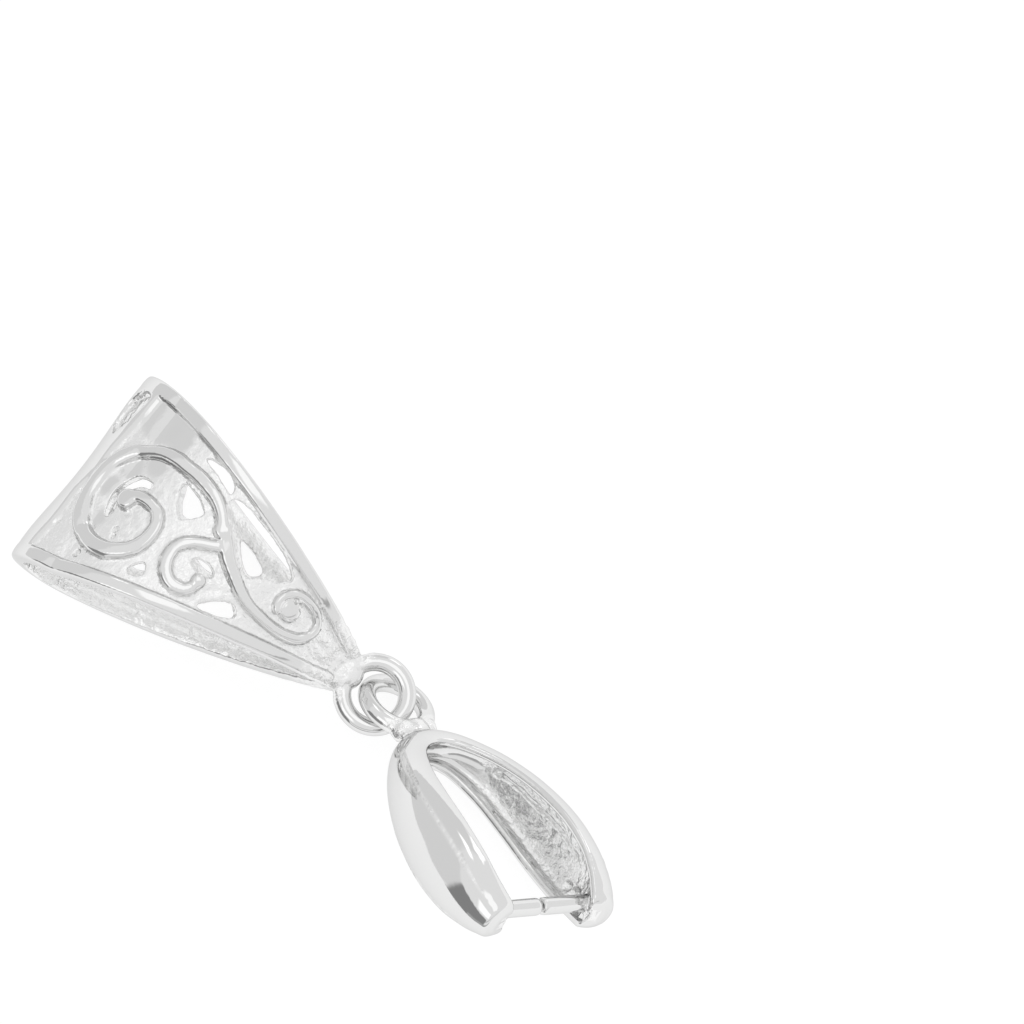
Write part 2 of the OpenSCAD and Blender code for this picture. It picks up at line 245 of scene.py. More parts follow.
def ring_skin(centre, axis, radius, wire):
    """A torus: a circle of radius wire carried round a circle of the given radius square to the axis."""
    axis = np.asarray(axis, float)
    first = np.cross(axis, ASKEW)
    first /= np.linalg.norm(first)
    second = np.cross(axis, first)
    a = 2 * np.pi * np.arange(RING_STEPS)[:, None, None] / RING_STEPS
    b = 2 * np.pi * np.arange(ROUND_STEPS)[None, :, None] / ROUND_STEPS
    out = first * np.cos(a) + second * np.sin(a)
    return skin(np.asarray(centre) + out * (radius + wire * np.cos(b)) + axis * wire * np.sin(b), loop=True)


def lump_skin(centre, radii, power=2.0):
    """A rounded lump: an ellipsoid, or a rounded box where power is over 2."""
    lat = (np.arange(LUMP_STEPS + 1)[:, None] / LUMP_STEPS - 0.5) * np.pi
    c, s = squircle(ROUND_STEPS, power)
    cl, sl = np.cos(lat) ** (2 / power), np.sign(np.sin(lat)) * np.abs(np.sin(lat)) ** (2 / power)
    grid = np.stack([cl * c, cl * s, sl + 0 * c], -1) * np.asarray(radii)
    return skin(grid + np.asarray(centre))


# Points are looked up along a line in blocks of this many
BLOCK = 4096


def nearest_on_line(points, y, z):
    """Which point of the line y, z lies nearest to each of the points, seen along the x axis."""
    near = np.empty(len(points), int)
    for first in range(0, len(points), BLOCK):
        p = points[first:first + BLOCK]
        near[first:first + BLOCK] = np.argmin((p[:, 1:2] - y) ** 2 + (p[:, 2:3] - z) ** 2, 1)
    return near


# Places along one wall, samples round the whole outer line, and half the turn, in radians, over which a
# slope is taken
WALL_PLACES = 49
LINE_SAMPLES = 721
SLOPE_STEP = 0.009


class Band:
    """The teardrop's wall as a sheet: a place across it, a length along it and a height above it.

    At turn f from the point, the outer line is at y = -half depth * sin f * |sin(f / 2)| ^ fullness over
    its own peak, and z = (1 - cos f) / 2 * length. The front wall is the turns under 180 degrees.
    """

    def __init__(self, sizes):
        self.length = sizes.bail_length / MM
        self.half_depth = sizes.bail_depth / MM / 2
        self.crest_width = sizes.crest_width / MM
        self.point_width = sizes.point_width / MM
        self.rim_width = sizes.rim_width / MM
        self.fullness = sizes.fullness
        self.widening = sizes.widening
        self.crest_bulge = sizes.crest_bulge / MM
        self.crest_reach = sizes.crest_reach
        self.crest_lobe = sizes.crest_lobe
        self.crest_dip = sizes.crest_dip
        full = (1 + self.fullness) / (2 + self.fullness)
        self.peak = 2 * full ** ((1 + self.fullness) / 2) * math.sqrt(1 - full)
        self.turns = np.linspace(0, np.pi, WALL_PLACES)
        line = np.stack(self.line(self.turns), 1)
        steps = np.linalg.norm(np.diff(line, axis=0), axis=1)
        self.reach = np.concatenate([[0], np.cumsum(steps)])
        self.wall = self.reach[-1]

    def line(self, f):
        """The outer line's y and z at turn f, as the class gives them."""
        y = -self.half_depth * np.sin(f) * np.abs(np.sin(f / 2)) ** self.fullness / self.peak
        return y, (1 - np.cos(f)) / 2 * self.length

    def turn_at(self, along):
        """The turn at a length along the wall. Past the crest it counts back from the full turn."""
        front = np.interp(along, self.reach, self.turns)
        back = 2 * np.pi - np.interp(2 * self.wall - along, self.reach, self.turns)
        return np.where(along <= self.wall, front, back)

    def half_width(self, along):
        """Half the band's width: it grows with a power of height from the point's width to the crest's."""
        z = self.line(self.turn_at(along))[1]
        more = self.crest_width - self.point_width
        return (self.point_width + more * (z / self.length) ** self.widening) / 2

    def bulge(self, across, along):
        """Height of the crest's bulge: it falls to nothing with the square of the distance along the wall,
        and across the band it has a lobe on each side and a dip in the middle."""
        a = across / self.half_width(along) / self.crest_lobe
        b = (along - self.wall) / (self.crest_reach * self.wall)
        return self.crest_bulge * (1 - self.crest_dip * (1 - a * a) ** 2) * np.maximum(0, 1 - b * b)

    def point(self, across, along, rise):
        """The point at a place across and along the wall, raised square to it."""
        across, along, rise = np.broadcast_arrays(across, along, rise)
        f = self.turn_at(along)
        y, z = self.line(f)
        y1, z1 = self.line(f + SLOPE_STEP)
        y0, z0 = self.line(f - SLOPE_STEP)
        run = np.hypot(y1 - y0, z1 - z0)
        out = rise + self.bulge(across, along)
        return np.stack([across, y - (z1 - z0) / run * out, z + (y1 - y0) / run * out], -1)

    def unroll(self, points):
        """The length along the wall and the height above it of points near the wall, by the nearest of
        many samples of the outer line."""
        f = np.linspace(0, 2 * np.pi, LINE_SAMPLES)
        y, z = self.line(f)
        along = np.where(f <= np.pi, np.interp(f, self.turns, self.reach),
                         2 * self.wall - np.interp(2 * np.pi - f, self.turns, self.reach))
        near = nearest_on_line(points, y, z)
        ty, tz = np.gradient(y), np.gradient(z)
        run = np.hypot(ty, tz) + 1e-9
        out = -(points[:, 1] - y[near]) * (tz / run)[near] + (points[:, 2] - z[near]) * (ty / run)[near]
        return along[near], out - self.bulge(points[:, 0], along[near])


# Rows of a scroll: share of the half width across, share of the wall's length along, share of the breadth
MAIN_SCROLL = [
    (0.26, 0.543, 0.8), (0.42, 0.576, 0.9), (0.5, 0.608, 0.95), (0.53, 0.643, 1), (0.54, 0.679, 1),
    (0.53, 0.715, 1), (0.52, 0.752, 1), (0.49, 0.789, 0.95), (0.44, 0.821, 0.9), (0.35, 0.861, 0.9),
    (0.23, 0.886, 0.9), (0.11, 0.9, 0.85), (0.01, 0.905, 0.85), (-0.1, 0.905, 0.85), (-0.22, 0.899, 0.85),
    (-0.33, 0.89, 0.95), (-0.44, 0.875, 1.05), (-0.53, 0.852, 1.15), (-0.59, 0.822, 1.2), (-0.62, 0.79, 1.2),
    (-0.62, 0.757, 1.2), (-0.57, 0.726, 1.15), (-0.5, 0.704, 1.1), (-0.39, 0.69, 1.05), (-0.27, 0.685, 1),
    (-0.14, 0.689, 0.95), (-0.04, 0.704, 0.9), (0, 0.728, 0.85), (0.01, 0.756, 0.85), (-0.01, 0.78, 0.9),
    (-0.06, 0.795, 1)]
STEM_SCROLL = [
    (0.31, 0.549, 1), (0.2, 0.525, 1.1), (0.05, 0.493, 1.05), (-0.08, 0.457, 0.95), (-0.23, 0.412, 0.9),
    (-0.32, 0.373, 0.8), (-0.37, 0.331, 0.75), (-0.4, 0.289, 0.75), (-0.38, 0.25, 0.8), (-0.28, 0.214, 0.8),
    (-0.04, 0.192, 0.75), (0.26, 0.19, 0.7), (0.46, 0.214, 0.7), (0.49, 0.252, 0.7), (0.42, 0.288, 0.7),
    (0.24, 0.315, 0.65), (0.03, 0.32, 0.65), (-0.14, 0.304, 0.6)]
MIDDLE_SCROLL = [
    (0.13, 0.519, 0.9), (0.05, 0.544, 0.85), (-0.01, 0.568, 0.85), (-0.06, 0.586, 0.85), (-0.14, 0.605, 0.9),
    (-0.25, 0.616, 0.9), (-0.38, 0.615, 0.95), (-0.51, 0.602, 1), (-0.61, 0.578, 1), (-0.64, 0.553, 1),
    (-0.61, 0.531, 0.9), (-0.52, 0.519, 0.9), (-0.43, 0.519, 0.9)]
# The back wall's middle scroll is lower, clear of the wider hole above it
BACK_MIDDLE_SCROLL = [
    (0.13, 0.519, 0.9), (0.06, 0.541, 0.85), (0, 0.558, 0.8), (-0.13, 0.57, 0.8), (-0.28, 0.576, 0.85),
    (-0.43, 0.574, 0.9), (-0.56, 0.563, 0.9), (-0.64, 0.545, 0.9), (-0.65, 0.524, 0.9), (-0.57, 0.51, 0.9),
    (-0.47, 0.51, 0.9)]
FRONT_SCROLLS = [MAIN_SCROLL, STEM_SCROLL, MIDDLE_SCROLL]
BACK_SCROLLS = [MAIN_SCROLL, STEM_SCROLL, BACK_MIDDLE_SCROLL]
# Pads: share of the half width across, share of the wall's length along, share of the pad's radius
PADS = [(-0.08, 0.798, 1.5), (-0.43, 0.518, 1), (0.09, 0.279, 1.6), (0.28, 0.546, 1.25)]

# Outlines of the holes through the sheet, in the same shares, clockwise as seen from outside
SHARED_HOLES = [
    [(0.05, 0.653), (0.14, 0.675), (0.26, 0.692), (0.33, 0.7), (0.4, 0.698), (0.4, 0.677), (0.38, 0.647),
     (0.34, 0.627), (0.3, 0.613), (0.25, 0.612), (0.15, 0.628), (0.08, 0.642)],
    [(-0.73, 0.485), (-0.68, 0.476), (-0.59, 0.458), (-0.49, 0.434), (-0.44, 0.414), (-0.48, 0.394),
     (-0.57, 0.384), (-0.65, 0.391), (-0.72, 0.422), (-0.74, 0.454)]]
FRONT_HOLES = [
    [(0.21, 0.489), (0.29, 0.522), (0.4, 0.549), (0.5, 0.567), (0.59, 0.576), (0.68, 0.567), (0.72, 0.546),
     (0.74, 0.51), (0.74, 0.474), (0.74, 0.432), (0.73, 0.396), (0.7, 0.36), (0.62, 0.33), (0.52, 0.319),
     (0.4, 0.333), (0.3, 0.351), (0.2, 0.378), (0.09, 0.404), (0.01, 0.423), (0.09, 0.45)],
    [(0.74, 0.697), (0.78, 0.68), (0.82, 0.64), (0.81, 0.606), (0.74, 0.587), (0.66, 0.589), (0.68, 0.612),
     (0.71, 0.642), (0.72, 0.673)],
    [(-0.73, 0.678), (-0.65, 0.678), (-0.56, 0.657), (-0.6, 0.646), (-0.67, 0.639), (-0.71, 0.643),
     (-0.74, 0.661)],
    [(-0.24, 0.562), (-0.19, 0.553), (-0.17, 0.528), (-0.2, 0.503), (-0.26, 0.493), (-0.32, 0.503),
     (-0.33, 0.528), (-0.3, 0.553)],
    [(-0.32, 0.826), (-0.24, 0.845), (-0.1, 0.855), (0.03, 0.85), (0.14, 0.83), (0.19, 0.8), (0.19, 0.768),
     (0.13, 0.766), (0.1, 0.793), (0.03, 0.81), (-0.06, 0.82), (-0.17, 0.822), (-0.25, 0.815)]]
# The back wall has one less, and wider ones in most of the same places
BACK_HOLES = [
    [(0.21, 0.489), (0.29, 0.522), (0.4, 0.549), (0.5, 0.56), (0.57, 0.548), (0.58, 0.51), (0.58, 0.474),
     (0.58, 0.432), (0.58, 0.396), (0.57, 0.36), (0.51, 0.335), (0.4, 0.333), (0.3, 0.351), (0.2, 0.378),
     (0.09, 0.404), (0.01, 0.423), (0.09, 0.45)],
    [(-0.4, 0.641), (-0.46, 0.612), (-0.58, 0.594), (-0.68, 0.594), (-0.76, 0.613), (-0.78, 0.65),
     (-0.76, 0.68), (-0.69, 0.686), (-0.58, 0.677), (-0.47, 0.661)],
    [(-0.2, 0.556), (-0.12, 0.54), (-0.1, 0.505), (-0.14, 0.479), (-0.24, 0.473), (-0.33, 0.49),
     (-0.35, 0.517), (-0.29, 0.544)],
    [(-0.41, 0.779), (-0.36, 0.812), (-0.23, 0.841), (-0.07, 0.846), (0.07, 0.832), (0, 0.812),
     (-0.12, 0.819), (-0.22, 0.8), (-0.29, 0.77), (-0.37, 0.761)]]
# The sheet starts this share of the wall's length from the point
SHEET_START = 0.04
# The bar over the crest: place across as a share of the half width, and where it starts as a share of the
# wall's length. Its top lies this far below the rims and its edge is this wide, in millimetres
CREST_BAR = [(-1, 0.935), (-0.81, 0.93), (-0.65, 0.925), (-0.49, 0.927), (-0.27, 0.935), (0, 0.92),
             (0.26, 0.92), (0.41, 0.912), (0.56, 0.906), (0.7, 0.902), (1, 0.9)]
CREST_DROP = 0.03
CREST_EDGE = 0.09
# How far a hole's cutter stands out above and below the sheet, in millimetres
CUTTER_OUT = 0.4
# The grainy leaf sunk into the crest bar, and how deep, in millimetres
CREST_LEAF = [(0.81, 0.917), (0.68, 0.921), (0.54, 0.928), (0.44, 0.939), (0.37, 0.955), (0.47, 0.985),
              (0.64, 0.988), (0.76, 0.975), (0.84, 0.945)]
LEAF_DEPTH = 0.3
# Places where the sheet is smooth: shares across and along, and a radius in millimetres
SMOOTH_PLACES = [(0.75, 0.86, 1.2), (0.72, 0.79, 0.8), (-0.05, 0.87, 0.55), (0.2, 0.85, 0.6),
                 (0.36, 0.79, 0.6), (-0.36, 0.84, 0.45), (0.12, 0.275, 0.5)]
# Small pits of the casting: shares across and along, radius and depth in millimetres
PITS = [(-0.39, 0.776, 0.1, 0.2), (-0.46, 0.768, 0.08, 0.2), (-0.75, 0.828, 0.13, 0.25),
        (0.6, 0.945, 0.12, 0.2), (0.28, 0.262, 0.1, 0.2), (0.3, 0.285, 0.08, 0.2)]
# Strokes that cross differ by this step in height, in millimetres
LAYER_STEP = 0.035

# Rows down a leg: share of half the gap out from the middle, share of the leg's length,
# share of its breadth, share of its dome, share of the hollow inside the dome
LEG_ROWS = [
    (0, 0, 0.47, 0.8, 0.4), (0.38, 0.045, 0.53, 0.82, 0.7), (0.7, 0.18, 0.71, 0.88, 1),
    (0.9, 0.36, 0.89, 0.96, 1), (1, 0.56, 0.99, 1, 1), (1.01, 0.74, 0.93, 1, 0.95),
    (0.96, 0.86, 0.76, 1, 0.55), (0.88, 0.94, 0.6, 0.96, 0.15), (0.83, 0.98, 0.5, 0.86, 0.1),
    (0.81, 1, 0.36, 0.62, 0.1)]
# A cast groove down the dish of the leg on the +Y side: where across it lies as a share of the half breadth,
# its two ends as shares of the leg's length, its half width and depth in millimetres
DISH_GROOVE = (0.12, 0.14, 0.72, 0.16, 0.2)
# Pits in the same dish: share of the leg's length, share of the half breadth, radius and depth in
# millimetres
DISH_PITS = [(0.8, -0.5, 0.3, 0.2), (0.74, -0.55, 0.2, 0.15), (0.16, 0.1, 0.2, 0.2),
             (0.86, -0.35, 0.18, 0.15)]
# Where down the legs the prongs sit, as a share of the leg's length, and how deep in the dome they end
PRONG_SHARE = 0.93
PRONG_ROOT = 0.5
# A prong's tip: distance from its end in millimetres, and share of its radius
PRONG_TIP = [(0, 0.72), (0.02, 0.9), (0.06, 0.98), (0.12, 1)]

# Breadth of a scroll's foot and of its flat top, as shares of the scroll's own
FOOT_BREADTH = 1.12
TOP_BREADTH = 0.58
# How deep the foot of a scroll and of a pad stands in the sheet, as shares of its thickness
SCROLL_FOOT = 0.4
PAD_FOOT = 0.3
# Steps between two rows of a scroll and of a hole's outline, and round a pad
STROKE_STEPS = 12
OUTLINE_STEPS = 4
PAD_STEPS = 32
# The round end of a scroll stops at this share of its length, so that no ring is a single point
END_STOP = 0.03
# A rim starts this share of the wall's length from the point. Its rings, points round and squareness
RIM_START = 0.012
RIM_RINGS = 420
RIM_ROUND = 40
RIM_SQUARE = 5
# Rows of the sheet from the point up and over the crest, where they lie closer, and points across it
SHEET_ROWS = 81
SHEET_CREST = 0.88
SHEET_PLACES = 41


def scroll_section(sizes, layer):
    """A scroll's section from its left foot over its flat top to its right foot: share of half the
    breadth and rise. Each later layer lies a little lower."""
    high = sizes.scroll_rise / MM - layer * LAYER_STEP
    low = -(sizes.sheet_drop + sizes.sheet_thick * SCROLL_FOOT) / MM
    down = high - sizes.shoulder / MM
    return np.array([(-FOOT_BREADTH, low), (-1, down), (-TOP_BREADTH, high),
                     (TOP_BREADTH, high), (1, down), (FOOT_BREADTH, low)])


def stroke_skin(band, rows, breadth, section):
    """A stroke laid along the wall.

    The line runs through the rows. The section is carried along it, half as broad as the breadth times
    the row's share. Both ends are half circles.
    """
    line = smooth_rows(rows, STROKE_STEPS)
    along = line[:, 1] * band.wall
    path = np.stack([line[:, 0] * band.half_width(along), along], 1)
    half = line[:, 2] * breadth / 2
    heading = np.gradient(path, axis=0)
    heading /= np.linalg.norm(heading, axis=1)[:, None]
    run = np.concatenate([[0], np.cumsum(np.linalg.norm(np.diff(path, axis=0), axis=1))])
    near = np.clip(np.minimum(run, run[-1] - run) / half, END_STOP, 1)
    half = half * np.sqrt(1 - (1 - near) ** 2)
    across = path[:, :1] + heading[:, 1:] * half[:, None] * section[:, 0]
    lengthwise = path[:, 1:] - heading[:, :1] * half[:, None] * section[:, 0]
    return skin(band.point(across, lengthwise, section[None, :, 1]))


def rim_skin(band, side, thick):
    """A side rim: a flat bar with rounded edges carried round the whole band, its outer face on the band's
    edge."""
    along = np.linspace(RIM_START, 2 - RIM_START, RIM_RINGS)[:, None] * band.wall
    a, b = squircle(RIM_ROUND, RIM_SQUARE)
    inward = band.rim_width / 2 * (1 + a)
    across = side * (band.half_width(along) - inward)
    return skin(band.point(across, along, -thick / 2 + b * thick / 2))


def sheet_skin(band, sizes):
    """The sheet between the rims, from near the point over the crest and back, with the bar that stands
    out from it over the crest."""
    low = np.linspace(SHEET_START, SHEET_CREST, SHEET_ROWS)[:-1]
    over = np.linspace(SHEET_CREST, 2 - SHEET_CREST, SHEET_ROWS)
    along = np.concatenate([low, over, 2 - low[::-1]])[:, None]
    place = np.linspace(-1, 1, SHEET_PLACES)
    half = band.half_width(along * band.wall) - band.rim_width / 2
    drop = sizes.sheet_drop / MM
    bar = np.array(CREST_BAR)
    front = np.interp(place, bar[:, 0], bar[:, 1])
    start = np.where(along <= 1, front, front[::-1])
    past = (1 - np.abs(along - 1) - start) * band.wall
    top = -drop + (drop - CREST_DROP) * step_up(past, -CREST_EDGE, CREST_EDGE)
    outer = band.point(half * place, along * band.wall, top)
    inner = band.point(half * place[::-1], along * band.wall, -drop - sizes.sheet_thick / MM)
    return skin(np.concatenate([outer, inner], axis=1))


def cutter_skin(band, outline, low):
    """What a hole takes out of the sheet: a prism square to the wall over a smooth line round the
    outline, down to the height low."""
    rows = np.asarray(outline + outline[:3], float)
    round_line = smooth_rows(rows, OUTLINE_STEPS)[OUTLINE_STEPS:OUTLINE_STEPS * (len(outline) + 1)]
    along = round_line[:, 1] * band.wall
    across = round_line[:, 0] * band.half_width(along)
    rise = np.array([CUTTER_OUT, low])
    return skin(band.point(across[None, :], along[None, :], rise[:, None]))


def pad_skin(band, across, along, radius, rise, low):
    """A round pad on the wall: rings at shares of the radius and at heights, from its foot in the sheet up
    its flank and over its low dome."""
    middle = along * band.wall
    turn = 2 * np.pi * np.arange(PAD_STEPS) / PAD_STEPS
    rows = np.array([(1.05, low), (1, -0.1), (0.86, rise * 0.4), (0.5, rise), (0.05, rise * 1.1)])
    x = across * band.half_width(middle) + radius * rows[:, :1] * np.cos(turn)
    return skin(band.point(x, middle + radius * rows[:, :1] * np.sin(turn), rows[:, 1:]))


def wall_skins(band, sizes, scrolls):
    """The scrolls and pads of one wall."""
    breadth, rise = sizes.scroll_width / MM, sizes.scroll_rise / MM
    skins = [stroke_skin(band, rows, breadth, scroll_section(sizes, layer))
             for layer, rows in enumerate(scrolls)]
    low = -(sizes.sheet_drop + sizes.sheet_thick * PAD_FOOT) / MM
    skins += [pad_skin(band, across, along, share_of * sizes.pad / MM, rise, low)
              for across, along, share_of in PADS]
    return skins


def turned_half(skins):
    """The same skins turned half round the upright axis, for the back wall."""
    return [(points * [-1, -1, 1], faces) for points, faces in skins]


# Steps between two rows of a leg, points across its shell and round its lip
LEG_STEPS = 10
SHELL_PLACES = 33
LIP_STEPS = 20
# Powers that round the dome and the dish, the most of the half breadth that the lip may take, and how flat
# the lip is and how far it stands out, in millimetres
DOME_POWER = 0.75
DISH_POWER = 0.5
LIP_MOST = 0.45
LIP_FLAT = 0.9
LIP_LIFT = 0.06


def leg_line(rows, sizes):
    """The middle of a full U from tip to tip: y, z, half breadth, dome and hollow in millimetres."""
    rows = np.asarray(rows, float)
    other = rows[:0:-1] * [-1, 1, 1, 1, 1]
    line = smooth_rows(np.vstack([other, rows]), LEG_STEPS)
    dome = line[:, 3] * sizes.leg_dome / MM
    hollow = line[:, 3] * line[:, 4] * (sizes.leg_dome - sizes.leg_wall) / MM
    return (line[:, 0] * sizes.leg_gap / MM / 2, -line[:, 1] * sizes.leg_length / MM,
            line[:, 2] * sizes.leg_width / MM / 2, dome, hollow)


def leg_frames(sizes):
    """The U's middle line, its outward direction square to it, and its sizes there."""
    y, z, half, dome, hollow = leg_line(LEG_ROWS, sizes)
    dy, dz = np.gradient(y), np.gradient(z)
    run = np.hypot(dy, dz)
    return y, z, -dz / run, dy / run, half, dome, hollow


def lip_width(sizes, half):
    """The lip's width, less where the leg is narrow."""
    return np.minimum(sizes.leg_rim / MM, half * LIP_MOST)


def leg_skin(sizes):
    """Both legs and the neck as one shell.

    Across the leg the outer face is x = half breadth * cos g at height dome * sin g ^ dome power, and the
    inner face is the same with the lip's width taken off and height hollow * sin g ^ dish power.
    """
    y, z, oy, oz, half, dome, hollow = (v[:, None] for v in leg_frames(sizes))
    g = np.linspace(np.pi, 0, SHELL_PLACES)[None, :]
    lip = lip_width(sizes, half)
    across = np.hstack([half * np.cos(g), (half - lip) * np.cos(g[:, ::-1])])
    height = np.hstack([dome * np.sin(g) ** DOME_POWER, hollow * np.abs(np.sin(g[:, ::-1])) ** DISH_POWER])
    height = np.nan_to_num(height)
    return skin(np.stack([across, y + oy * height, z + oz * height], -1))


def lip_skins(sizes):
    """The rounded lip along both edges of the U: a bar of round section on the shell's edge."""
    y, z, oy, oz, half, *_ = (v[:, None] for v in leg_frames(sizes))
    lip = lip_width(sizes, half)
    a = 2 * np.pi * np.arange(LIP_STEPS)[None, :] / LIP_STEPS
    skins = []
    for side in (-1, 1):
        across = side * (half - lip / 2) + lip / 2 * np.cos(a)
        height = lip / 2 * np.sin(a) * LIP_FLAT + LIP_LIFT
        skins.append(skin(np.stack([across, y + oy * height, z + oz * height], -1)))
    return skins


def prong_skins(sizes):
    """The two prongs: round rods with slightly rounded tips that point at each other across the gap."""
    y, z, *_ = leg_line(LEG_ROWS, sizes)
    height = -PRONG_SHARE * sizes.leg_length / MM
    right = y > 0
    root = np.interp(-height, -z[right], y[right]) + sizes.leg_dome / MM * PRONG_ROOT
    radius, gap = sizes.prong_radius / MM, sizes.prong_gap / MM / 2
    a = 2 * np.pi * np.arange(ROUND_STEPS)[None, :] / ROUND_STEPS
    tip = np.array(PRONG_TIP)
    reach = np.append(tip[:, 0], root - gap)[:, None]
    wide = radius * np.append(tip[:, 1], 1)[:, None]
    rod = np.stack([wide * np.cos(a), gap + reach + 0 * a, height + wide * np.sin(a)], -1)
    return [skin(rod), skin(rod * [-1, -1, 1])]


# A piece is thinned out to this many triangles at most
MOST_TRIANGLES = 190000
# How often and how strongly the fused skin is smoothed
SMOOTH_PASSES = 5
SMOOTH_FACTOR = 0.5
# Waves of the polished faces and grain of the cast ones: height and cell in millimetres, and the noise's seed
POLISH_WAVE = (0.006, 1.1, 3)
CAST_GRAIN = [(0.03, 0.27, 5), (0.014, 0.13, 7)]


def mesh_object(name, points, faces):
    """An object in the scene over points and faces."""
    mesh = bpy.data.meshes.new(name)
    mesh.from_pydata(points.tolist(), [], faces)
    made = bpy.data.objects.new(name, mesh)
    bpy.context.scene.collection.objects.link(made)
    return made


def removed(made):
    """Takes a working object and its mesh out again."""
    mesh = made.data
    bpy.data.objects.remove(made)
    bpy.data.meshes.remove(mesh)


def applied(thing):
    """The mesh of an object with its modifiers applied. The object itself is removed."""
    bpy.context.view_layer.update()
    mesh = bpy.data.meshes.new_from_object(thing.evaluated_get(bpy.context.evaluated_depsgraph_get()))
    removed(thing)
    return mesh


def pierced(body, cutters):
    """The body's skin with the cutters' skins taken out of it."""
    sheet = mesh_object("sheet_work", *body)
    tools = mesh_object("cutter_work", *join_skins(cutters))
    cut = sheet.modifiers.new("Pierce", "BOOLEAN")
    cut.operation = "DIFFERENCE"
    cut.solver = "EXACT"
    cut.object = tools
    solid = applied(sheet)
    points = np.array([vertex.co[:] for vertex in solid.vertices])
    faces = [list(polygon.vertices) for polygon in solid.polygons]
    bpy.data.meshes.remove(solid)
    removed(tools)
    return points, faces


def fused(name, skins, voxel):
    """One closed skin round all the parts.

    The parts are filled with voxels of the given size, skinned again and smoothed a few times. Returns the
    points in millimetres and the mesh.
    """
    work = mesh_object(name + "_rough", *join_skins(skins))
    remesh = work.modifiers.new("Fuse", "REMESH")
    remesh.mode = "VOXEL"
    remesh.voxel_size = voxel
    remesh.use_smooth_shade = True
    smooth = work.modifiers.new("Polish", "SMOOTH")
    smooth.factor = SMOOTH_FACTOR
    smooth.iterations = SMOOTH_PASSES
    mesh = applied(work)
    mesh.name = name
    co = np.empty(len(mesh.vertices) * 3)
    mesh.vertices.foreach_get("co", co)
    return co.reshape(-1, 3), mesh


def finished_piece(name, mesh, points, cast, dent, turn, place, node, material):
    """Grains the surface, turns and places the piece, and hands it to the frame in place of its node.

    Each point moves along its normal: by coarse low noise where it is polished, by finer, higher noise
    where it is as cast, and inwards by its dent.
    """
    normals = np.empty(len(mesh.vertices) * 3)
    mesh.vertices.foreach_get("normal", normals)
    normals = normals.reshape(-1, 3)
    height, cell, seed = POLISH_WAVE
    move = height * value_noise(points, cell, seed) * (1 - cast)
    grain = sum(height * value_noise(points, cell, seed) for height, cell, seed in CAST_GRAIN)
    move += cast * grain - dent
    points = points + normals * move[:, None]
    placed = points @ np.array(turn.to_matrix()).T + place
    placed[:, 2] -= placed[:, 2].min()
    mesh.vertices.foreach_set("co", (placed * MM).ravel())
    # The cast share sets roughness and grain, and also the lighter colour painted in as light in the recesses
    mesh.attributes.new("cast", "FLOAT", "POINT").data.foreach_set("value", cast)
    mesh.materials.clear()
    mesh.materials.append(material)
    mesh.polygons.foreach_set("use_smooth", np.ones(len(mesh.polygons), bool))
    mesh.update()
    work = bpy.data.objects.new(name + "_fine", mesh)
    bpy.context.scene.collection.objects.link(work)
    thin = work.modifiers.new("Thin out", "DECIMATE")
    thin.ratio = min(1, MOST_TRIANGLES / (2 * len(mesh.polygons)))
    piece = bpy.data.objects.new(name, applied(work))
    bpy.context.scene.collection.objects.link(piece)
    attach(piece, "root")
    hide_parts(node)
    return piece


# Cells of the plate's soft patches and of its fine grain, in millimetres, and how far the patches spread
# the roughness
PATCH_CELL = 1.6
GRAIN_CELL = 0.16
ROUGH_SPREAD = 0.1


def noise_node(nodes, cell, detail):
    """A noise texture whose cells are this many millimetres across."""
    noise = nodes.new("ShaderNodeTexNoise")
    noise.inputs["Scale"].default_value = 1 / (cell * MM)
    noise.inputs["Detail"].default_value = detail
    return noise


